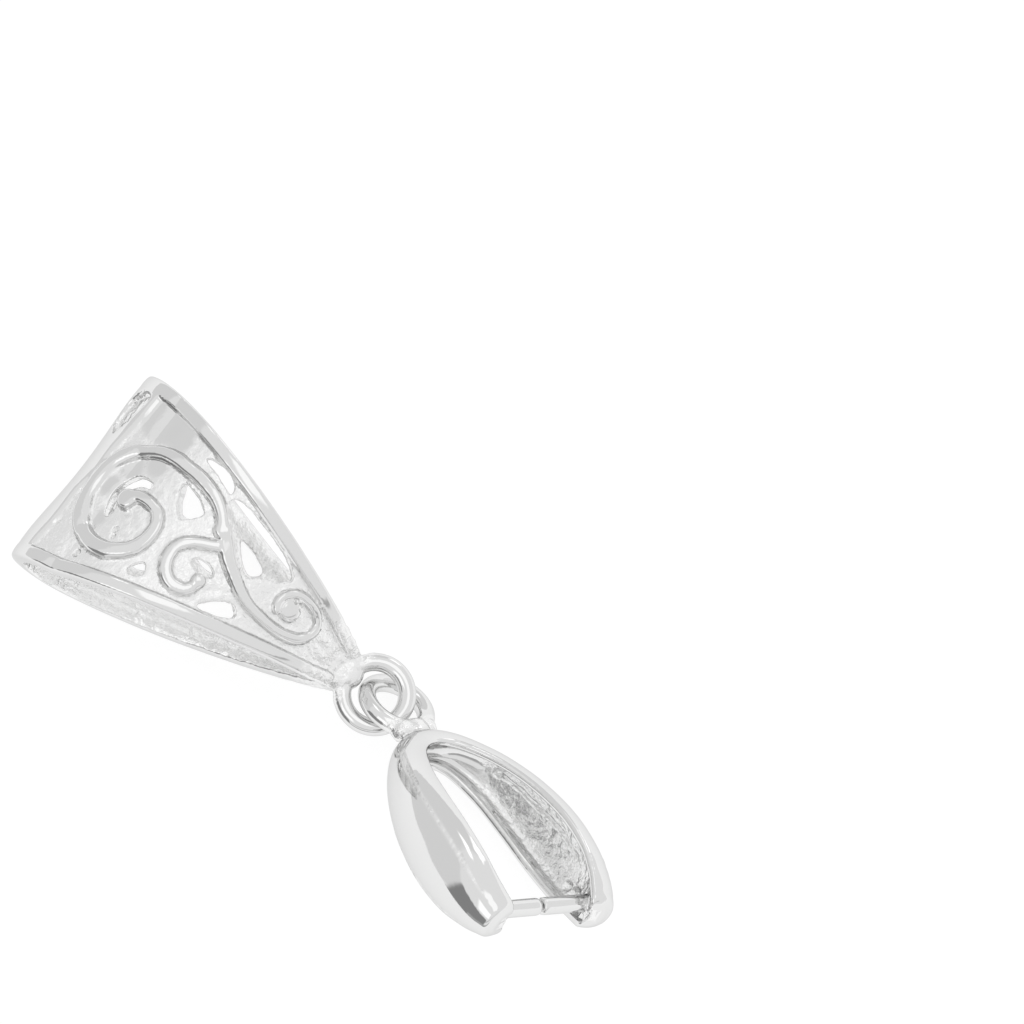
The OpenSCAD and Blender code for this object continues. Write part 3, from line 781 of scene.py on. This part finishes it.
def silver_plate(finish):
    """The plate: a bright metal, duller and grainier where the attribute cast is high, and lighter in colour
    there, painted light that lifts the shade in the recesses and inside.
    """
    name = "Silver plate"
    if name in bpy.data.materials:
        return bpy.data.materials[name]
    material = bpy.data.materials.new(name)
    material.use_nodes = True
    nodes, links = material.node_tree.nodes, material.node_tree.links
    shader = nodes["Principled BSDF"]
    shader.inputs["Metallic"].default_value = 1
    shader.inputs["Specular Tint"].default_value = (finish.edge, finish.edge, finish.edge, 1)
    place = nodes.new("ShaderNodeTexCoord")
    cast = nodes.new("ShaderNodeAttribute")
    cast.attribute_name = "cast"
    # The colour goes towards the lighter cast colour by the cast attribute: painted light in the recesses and
    # inside
    colour = nodes.new("ShaderNodeMixRGB")
    colour.inputs["Color1"].default_value = (*finish.colour, 1)
    colour.inputs["Color2"].default_value = (*finish.cast_painted_light_colour, 1)
    patches = noise_node(nodes, PATCH_CELL, detail=3)
    grain = noise_node(nodes, GRAIN_CELL, detail=4)
    tone = nodes.new("ShaderNodeMapRange")
    tone.inputs["To Min"].default_value = finish.polished
    tone.inputs["To Max"].default_value = finish.cast
    vary = nodes.new("ShaderNodeMath")
    vary.operation = "MULTIPLY_ADD"
    vary.inputs[1].default_value = ROUGH_SPREAD
    spread = nodes.new("ShaderNodeMath")
    spread.operation = "ADD"
    spread.use_clamp = True
    spread.inputs[1].default_value = -ROUGH_SPREAD / 2
    bump = nodes.new("ShaderNodeBump")
    bump.inputs["Distance"].default_value = finish.grain
    links.new(place.outputs["Object"], patches.inputs["Vector"])
    links.new(place.outputs["Object"], grain.inputs["Vector"])
    links.new(cast.outputs["Fac"], tone.inputs["Value"])
    links.new(cast.outputs["Fac"], colour.inputs["Fac"])
    links.new(colour.outputs["Color"], shader.inputs["Base Color"])
    links.new(patches.outputs["Fac"], vary.inputs[0])
    links.new(tone.outputs["Result"], vary.inputs[2])
    links.new(vary.outputs["Value"], spread.inputs[0])
    links.new(spread.outputs["Value"], shader.inputs["Roughness"])
    links.new(grain.outputs["Fac"], bump.inputs["Height"])
    links.new(cast.outputs["Fac"], bump.inputs["Strength"])
    links.new(bump.outputs["Normal"], shader.inputs["Normal"])
    return material


# Solder in the teardrop's point, in millimetres: two rounded blocks, each by its place up, how much less
# its half width is than half the point's, its half depth and its half height, then their squareness, and
# below them a lump by its place up and its radii
SOLDER_BLOCKS = [(0.5, 0, 0.52, 0.62), (1.1, 0.05, 0.68, 0.5)]
BLOCK_SQUARE = 3
SOLDER_LUMP = (-0.05, (0.55, 0.42, 0.35))
# How far the teardrop's ring is sunk into its point, in millimetres
RING_SINK = 0.58
# Where the teardrop is as cast, and so duller, grainier and painted lighter, a painted light that lifts the
# shade in the recesses and inside the band. Each pair is a range in millimetres over which it sets in:
# between the rims by the depth below them, the distance from the band's edge and the height over the point,
# then inside the band by the same three, and at the point by the height above and below
CAST_BETWEEN = [(0.12, 0.24), (0.5, 0.8), (-0.2, 0.5)]
CAST_INSIDE = [(0.5, 0.6), (0.03, 0.1), (0, 0.5)]
CAST_SOLDER = [(-0.3, 0.1), (-2.2, -1.5)]
SOLDER_CAST = 0.9
# Pits and smooth places are on the outside only, from this height under the rims, in millimetres
OUTSIDE = (-0.55, -0.45)
# How much less cast a smooth place is, and over which range at its edge, in millimetres
SMOOTH_SHARE = 0.9
SMOOTH_EDGE = (-0.1, 0.25)


def teardrop_skins(band, sizes, ring_r, wire):
    """The rims, the scrolls, the pierced sheet, the solder and the eye ring."""
    skins = [rim_skin(band, side, sizes.rim_thick / MM) for side in (-1, 1)]
    skins += wall_skins(band, sizes, FRONT_SCROLLS) + turned_half(wall_skins(band, sizes, BACK_SCROLLS))
    below = -(sizes.sheet_drop + sizes.sheet_thick) / MM - CUTTER_OUT
    cutters = [cutter_skin(band, outline, below) for outline in SHARED_HOLES + FRONT_HOLES]
    cutters += turned_half([cutter_skin(band, outline, below) for outline in SHARED_HOLES + BACK_HOLES])
    leaf = cutter_skin(band, CREST_LEAF, -LEAF_DEPTH)
    cutters += [leaf, *turned_half([leaf])]
    skins.append(pierced(sheet_skin(band, sizes), cutters))
    for height, less, deep, high in SOLDER_BLOCKS:
        skins.append(lump_skin((0, 0, height), (band.point_width / 2 - less, deep, high), BLOCK_SQUARE))
    height, radii = SOLDER_LUMP
    skins.append(lump_skin((0, 0, height), radii))
    ring_below = ring_r + wire - RING_SINK
    skins.append(ring_skin((0, 0, -ring_below), (0, 1, 0), ring_r, wire))
    return skins


def teardrop_marks(band, points):
    """How cast each point of the teardrop is, from 0 to 1, and how deep its pits are.

    The recesses, the band's inside and the solder are cast, but hardly so in the smooth places. Where cast,
    the plate is painted lighter, painted light that lifts the shade in the recesses and inside.
    """
    along, rise = band.unroll(points)
    half = band.half_width(along)
    edge, height = half - np.abs(points[:, 0]), points[:, 2]
    deep, wide, high = CAST_BETWEEN
    between = step_up(-rise, *deep) * step_up(edge, *wide) * step_up(height, *high)
    deep, wide, high = CAST_INSIDE
    inside = step_up(-rise, *deep) * step_up(edge, *wide) * step_up(height, *high)
    over, under = CAST_SOLDER
    solder = step_up(height, *over) * step_up(-height, *under)
    cast = np.maximum(np.maximum(between, inside), SOLDER_CAST * solder)
    outside = step_up(rise, *OUTSIDE)
    dent = np.zeros(len(points))
    side = np.where(along <= band.wall, 1, -1)
    from_point = np.minimum(along, 2 * band.wall - along)
    for across, place_along, radius in SMOOTH_PLACES:
        away = np.hypot(side * points[:, 0] - across * half, from_point - place_along * band.wall)
        cast *= 1 - SMOOTH_SHARE * outside * step_up(radius - away, *SMOOTH_EDGE)
    for across, place_along, radius, depth in PITS:
        away = np.hypot(side * points[:, 0] - across * half, from_point - place_along * band.wall)
        dent += depth * outside * step_up(radius - away, -radius, radius)
    return cast, dent


class BAIL_OT_teardrop(bpy.types.Operator):
    """Makes the pierced teardrop bail with its raised scrolls and its eye ring"""

    bl_idname = "bail.teardrop"
    bl_label = "Teardrop bail"

    def execute(self, context):
        sizes, rings, finish = context.scene.bail_teardrop, context.scene.bail_rings, context.scene.bail_plate
        band = Band(sizes)
        skins = teardrop_skins(band, sizes, (rings.bore + rings.wire) / MM, rings.wire / MM)
        points, mesh = fused("filigree_bail_plated", skins, finish.voxel / MM)
        cast, dent = teardrop_marks(band, points)
        turn = Matrix.Rotation(sizes.tilt - math.pi / 2, 4, "X").to_quaternion()
        lower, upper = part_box("filigree_bail")
        place = np.array([(lower[0] + upper[0]) / 2 / MM, TEARDROP_POINT[1], 0])
        finished_piece("filigree_bail_plated", mesh, points, cast, dent, turn, place, "filigree_bail",
                       silver_plate(finish))
        return {"FINISHED"}


# The neck's block: its height as a share of the neck's, how much higher than the neck, and its squareness
NECK_BLOCK = (0.35, 0.2, 2.6)
# The solder on both sides of the neck: place to the side, height as a share of the neck's, radii, squareness
NECK_SOLDER = (0.6, 0.8, (0.44, 0.5, 0.46), 2.4)
# Where the dish is as cast, and painted lighter to lift the shade in it, each a range over which it sets in:
# share of the hollow's depth, nearness to the lip, then in millimetres the distance from the dome and the way
# down from the neck
DISH_DEPTH = (0.3, 0.75)
DISH_EDGE = (0.0, 0.15)
DISH_WALL = (0.0, 0.1)
DISH_START = (0.6, 1.6)
# Share of the lip's width at which the dish's edge lies, and how far under the dome it counts as dish
DISH_LIP = 0.8
DISH_UNDER = 0.25
# How cast the neck's solder is, and where it starts and ends over the dome, in millimetres
NECK_CAST = 0.8
NECK_RANGES = [(-0.1, 0.1), (-0.9, -0.6)]
# The groove and the pits are only in the cast dish, from this far down from the neck
MARKED_CAST = 0.05
MARKED_START = (0.6, 1.2)
# How the groove wavers: width and cell in millimetres, and the noise's seed. Lengths over which it fades in
# and out, as shares of the leg's length
GROOVE_WAVER = (0.12, 0.9, 11)
GROOVE_FADES = (0.06, 0.1)
# A pit in the dish fades over this range, in shares of its radius
PIT_FADE = (-0.3, 0.7)


def pinch_skins(sizes, dome, above, ring_r, wire):
    """The legs, their lips and prongs, the neck with its solder, and the eye ring."""
    neck, neck_r = sizes.neck_height / MM, sizes.neck_radius / MM
    skins = [leg_skin(sizes)] + lip_skins(sizes) + prong_skins(sizes)
    place, extra, square = NECK_BLOCK
    skins.append(lump_skin((0, 0, dome + neck * place), (neck_r, neck_r, neck + extra), square))
    out, place, radii, square = NECK_SOLDER
    skins += [lump_skin((0, side * out, dome + neck * place), radii, square) for side in (-1, 1)]
    skins.append(ring_skin((0, 0, above), (1, 0, 0), ring_r, wire))
    return skins


def pinch_marks(sizes, points, dome):
    """How cast each point of the pinch bail is, from 0 to 1, and how deep its groove and pits are.

    The dishes and the neck's solder are cast, and painted lighter there, painted light that lifts the shade
    in the dishes. The groove and the pits are in the dish on the +Y side.
    """
    y, z, oy, oz, half, deep, hollow = leg_frames(sizes)
    near = nearest_on_line(points, y, z)
    half, deep, hollow = half[near], deep[near], hollow[near]
    height = (points[:, 1] - y[near]) * oy[near] + (points[:, 2] - z[near]) * oz[near]
    down = -points[:, 2]
    inside = 1 - (points[:, 0] / (half - sizes.leg_rim / MM * DISH_LIP)) ** 2
    low, high = DISH_DEPTH
    cast = (step_up(height, low * hollow, high * hollow) * step_up(inside, *DISH_EDGE)
            * step_up(deep - DISH_UNDER - height, *DISH_WALL) * step_up(down, *DISH_START))
    above_dome = points[:, 2] - dome
    over, under = NECK_RANGES
    cast = np.maximum(cast, NECK_CAST * step_up(above_dome, *over) * step_up(-above_dome, *under))
    place_across = points[:, 0] / half
    place_along = down / (sizes.leg_length / MM)
    across, first, last, width, depth = DISH_GROOVE
    waver, cell, seed = GROOVE_WAVER
    fade_in, fade_out = GROOVE_FADES
    off = np.abs((place_across - across) * half + waver * value_noise(points, cell, seed))
    dent = depth * step_up(width - off, 0, width) * step_up(place_along, first, first + fade_in)
    dent *= step_up(last - place_along, 0, fade_out)
    low, high = PIT_FADE
    for share_along, share_across, radius, deep_by in DISH_PITS:
        away = np.hypot((place_across - share_across) * half,
                        (place_along - share_along) * sizes.leg_length / MM)
        dent += deep_by * step_up(radius - away, low * radius, high * radius)
    in_dish = (cast > MARKED_CAST) * (points[:, 1] > 0) * step_up(down, *MARKED_START)
    return cast, dent * in_dish


class BAIL_OT_pinch(bpy.types.Operator):
    """Makes the pinch bail with its two domed legs, prongs and eye ring"""

    bl_idname = "bail.pinch"
    bl_label = "Pinch bail"

    def execute(self, context):
        sizes, rings, finish = context.scene.bail_pinch, context.scene.bail_rings, context.scene.bail_plate
        ring_r, wire = (rings.bore + rings.wire) / MM, rings.wire / MM
        dome = sizes.leg_dome / MM * LEG_ROWS[0][3]
        above = dome + sizes.neck_height / MM + ring_r
        skins = pinch_skins(sizes, dome, above, ring_r, wire)
        points, mesh = fused("pinch_bail_plated", skins, finish.voxel / MM)
        cast, dent = pinch_marks(sizes, points, dome)
        turn = sizes.turn.to_quaternion()
        lying = (leg_skin(sizes)[0] - [0, 0, above]) @ np.array(turn.to_matrix()).T
        lower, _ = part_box("pinch_bail")
        place = np.array([lower[0] / MM - lying[:, 0].min(), lower[1] / MM - lying[:, 1].min(), 0])
        finished_piece("pinch_bail_plated", mesh, points - [0, 0, above], cast, dent, turn, place,
                       "pinch_bail", silver_plate(finish))
        return {"FINISHED"}


# Camera: the picture's right, and the way back from the aim to the camera
PICTURE_RIGHT = (0.6021, -0.7959, -0.0626)
CAMERA_BACK = (-0.1676, -0.2027, 0.9648)
# The place at the picture's middle, from the teardrop's point, along the picture's right and up
AIM_RIGHT = 6.517
AIM_UP = 6.768
# Breadth of the camera's sensor in millimetres, and its nearest and furthest reach in metres
SENSOR = 36
CLIP = (0.01, 10)
# Fields along a side of the floor
FLOOR_FIELDS = 8


def pale_floor(studio):
    """The floor: a flat square sheet at height zero, matt, and near white by its own glow."""
    half = studio.floor_side / 2
    n = FLOOR_FIELDS + 1
    grid = np.linspace(-half, half, n)
    x, y = np.meshgrid(grid, grid, indexing="ij")
    points = np.stack([x, y, 0 * x], -1).reshape(-1, 3)
    i, j = np.meshgrid(np.arange(FLOOR_FIELDS), np.arange(FLOOR_FIELDS), indexing="ij")
    faces = np.stack([i * n + j, (i + 1) * n + j, (i + 1) * n + j + 1, i * n + j + 1], -1).reshape(-1, 4)
    mesh = bpy.data.meshes.new("pale_floor")
    mesh.from_pydata(points.tolist(), [], faces.tolist())
    floor = bpy.data.objects.new("pale_floor", mesh)
    bpy.context.scene.collection.objects.link(floor)
    material = bpy.data.materials.new("Pale floor")
    material.use_nodes = True
    shader = material.node_tree.nodes["Principled BSDF"]
    shader.inputs["Base Color"].default_value = (*studio.floor_colour, 1)
    shader.inputs["Roughness"].default_value = 0.9
    shader.inputs["Specular IOR Level"].default_value = 0.1
    shader.inputs["Emission Color"].default_value = (1, 1, 1, 1)
    shader.inputs["Emission Strength"].default_value = studio.glow
    mesh.materials.append(material)


# A direction is on a card's side where its share towards the card's middle is over this
AHEAD = 0.02
# Cards round the studio: azimuth from +X and height over the floor, half breadth and half height, all in
# degrees, then the softness of their edges and their brightness
CARDS = [
    ("Grey wall", 72, 24, 62, 27, 0.05, 0.78),
    ("Low band", 215, 29, 62, 2.6, 0.03, 0.46),
    ("Dark flag", 157, 18, 23, 20, 0.04, 0.27),
    ("Dark skirt", 195, 2, 40, 7, 0.04, 0.42),
    ("Top box", -45, 68, 13, 13, 0.05, 1.2),
    ("Streak box", 28, 42, 5, 9, 0.04, 1.45),
    ("Side box", 178, 57, 14, 12, 0.05, 1.3),
    ("Window", 0, 13, 8, 9, 0.03, 1.4),
]


def side_axes(azimuth, height):
    """The direction of a card's middle, and its axes along the floor and upwards."""
    a, h = math.radians(azimuth), math.radians(height)
    middle = (math.cos(a) * math.cos(h), math.sin(a) * math.cos(h), math.sin(h))
    along = (-math.sin(a), math.cos(a), 0)
    upward = (-math.cos(a) * math.sin(h), -math.sin(a) * math.sin(h), math.cos(h))
    return middle, along, upward


def card_mask(tree, direction, azimuth, height, half_breadth, half_height, soft):
    """1 inside a card and 0 outside it: the direction's shares along the card's two axes, each over its share
    towards the card's middle, must be under the tangents of the card's half angles."""
    nodes, links = tree.nodes, tree.links
    middle, along, upward = side_axes(azimuth, height)
    shares = []
    for axis in (middle, along, upward):
        dot = nodes.new("ShaderNodeVectorMath")
        dot.operation = "DOT_PRODUCT"
        dot.inputs[1].default_value = axis
        links.new(direction, dot.inputs[0])
        shares.append(dot.outputs["Value"])
    mask = nodes.new("ShaderNodeMath")
    mask.operation = "GREATER_THAN"
    mask.inputs[1].default_value = AHEAD
    links.new(shares[0], mask.inputs[0])
    for part, half in ((shares[1], half_breadth), (shares[2], half_height)):
        over = nodes.new("ShaderNodeMath")
        over.operation = "DIVIDE"
        size = nodes.new("ShaderNodeMath")
        size.operation = "ABSOLUTE"
        edge = nodes.new("ShaderNodeMapRange")
        edge.interpolation_type = "SMOOTHSTEP"
        reach = math.tan(math.radians(half))
        edge.inputs["From Min"].default_value = reach + soft
        edge.inputs["From Max"].default_value = reach - soft
        both = nodes.new("ShaderNodeMath")
        both.operation = "MULTIPLY"
        links.new(part, over.inputs[0])
        links.new(shares[0], over.inputs[1])
        links.new(over.outputs["Value"], size.inputs[0])
        links.new(size.outputs["Value"], edge.inputs["Value"])
        links.new(edge.outputs["Result"], both.inputs[0])
        links.new(mask.outputs["Value"], both.inputs[1])
        mask = both
    return mask.outputs["Value"]


def studio_world(studio):
    """The surroundings: a light tent of one pale level with grey, dark and white cards in it."""
    world = bpy.data.worlds.new("Studio")
    bpy.context.scene.world = world
    world.use_nodes = True
    tree = world.node_tree
    direction = tree.nodes.new("ShaderNodeTexCoord").outputs["Generated"]
    so_far = None
    for name, *place, level in CARDS:
        mix = tree.nodes.new("ShaderNodeMix")
        mix.label = name
        mix.inputs["A"].default_value = studio.tent
        if so_far is not None:
            tree.links.new(so_far, mix.inputs["A"])
        mix.inputs["B"].default_value = level
        tree.links.new(card_mask(tree, direction, *place), mix.inputs["Factor"])
        so_far = mix.outputs["Result"]
    tree.links.new(so_far, tree.nodes["Background"].inputs["Color"])


def photo_camera(studio):
    """The camera: square to the picture's right and to the way back, at the given distance from the aim."""
    back = Vector(CAMERA_BACK).normalized()
    right = Vector(PICTURE_RIGHT).normalized()
    back = (back - right * back.dot(right)).normalized()
    up = back.cross(right)
    aim = (Vector(TEARDROP_POINT) + right * AIM_RIGHT + up * AIM_UP) * MM
    lens = bpy.data.cameras.new("Camera")
    lens.sensor_width = SENSOR
    lens.lens = SENSOR * studio.distance / studio.picture
    lens.clip_start, lens.clip_end = CLIP
    camera = bpy.data.objects.new("Camera", lens)
    camera.matrix_world = Matrix.Translation(aim + back * studio.distance) @ Matrix(
        [right, up, back]).transposed().to_4x4()
    bpy.context.scene.collection.objects.link(camera)
    bpy.context.scene.camera = camera


class BAIL_OT_stage(bpy.types.Operator):
    """Makes the pale floor, the light tent with its cards, and the camera"""

    bl_idname = "bail.stage"
    bl_label = "Stage"

    def execute(self, context):
        studio = context.scene.bail_studio
        pale_floor(studio)
        studio_world(studio)
        photo_camera(studio)
        context.scene.view_settings.view_transform = "Standard"
        return {"FINISHED"}


class BAIL_PT_pieces(bpy.types.Panel):
    """Lists the pieces"""

    bl_idname = "BAIL_PT_pieces"
    bl_label = "Bail finding"
    bl_space_type = "VIEW_3D"
    bl_region_type = "UI"
    bl_category = "Bail"

    def draw(self, context):
        for operator in OPERATORS:
            self.layout.operator(operator.bl_idname)


SIZE_GROUPS = {"bail_teardrop": TeardropSizes, "bail_pinch": PinchSizes, "bail_rings": RingSizes,
               "bail_plate": PlateFinish, "bail_studio": StudioSizes}
OPERATORS = [BAIL_OT_teardrop, BAIL_OT_pinch, BAIL_OT_stage]


def register():
    """Registers the sizes, the operators and the panel."""
    for name, group in SIZE_GROUPS.items():
        bpy.utils.register_class(group)
        setattr(bpy.types.Scene, name, PointerProperty(type=group))
    for kind in [*OPERATORS, BAIL_PT_pieces]:
        bpy.utils.register_class(kind)


def unregister():
    """Takes them out again."""
    for kind in [BAIL_PT_pieces, *reversed(OPERATORS)]:
        bpy.utils.unregister_class(kind)
    for name, group in SIZE_GROUPS.items():
        delattr(bpy.types.Scene, name)
        bpy.utils.unregister_class(group)


def main():
    """Makes the pieces in order."""
    register()
    bpy.ops.bail.teardrop()
    bpy.ops.bail.pinch()
    bpy.ops.bail.stage()


if __name__ == "__main__":
    main()
